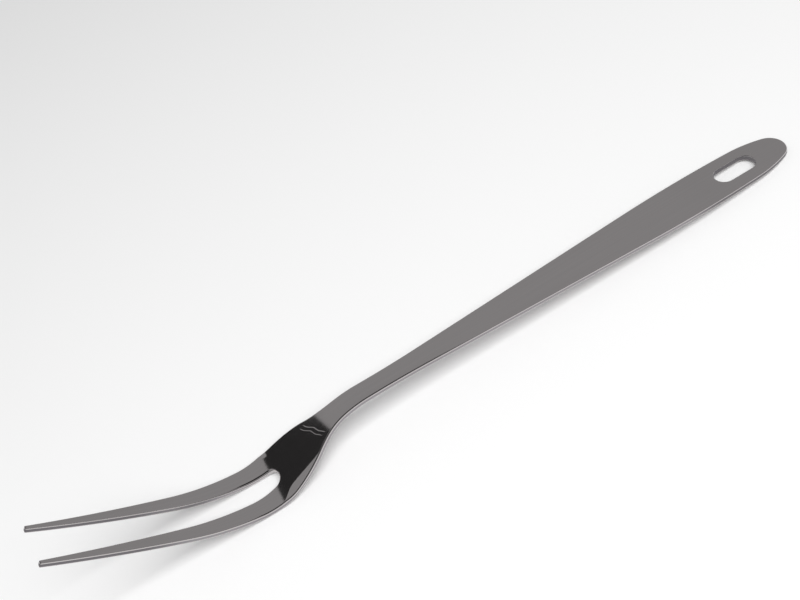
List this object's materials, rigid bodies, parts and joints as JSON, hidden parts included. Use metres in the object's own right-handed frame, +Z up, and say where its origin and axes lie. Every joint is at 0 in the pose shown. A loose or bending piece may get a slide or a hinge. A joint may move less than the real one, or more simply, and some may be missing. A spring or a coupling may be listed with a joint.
{
  "type": "carving fork",
  "caption": "Long flat steel fork pressed from one sheet: tapered handle with a hanging slot, cranked neck, flat head with bevelled shoulders and rising blunt tines.",
  "frame": {"origin": "under the middle of the fork's box, on the surface it lies on", "axes": "+X along the fork from the handle's end to the tips, +Y across, +Z up from the surface it rests on; the handle's end and the head's sole touch Z = 0, so the handle slopes by 3.9 degrees"},
  "size_m": [0.327, 0.0256, 0.043],
  "materials": {
    "steel": "lightly brushed satin, brighter on the rounded edges"
  },
  "bodies": {
    "root": {"fork": "steel"}
  },
  "joints": []
}
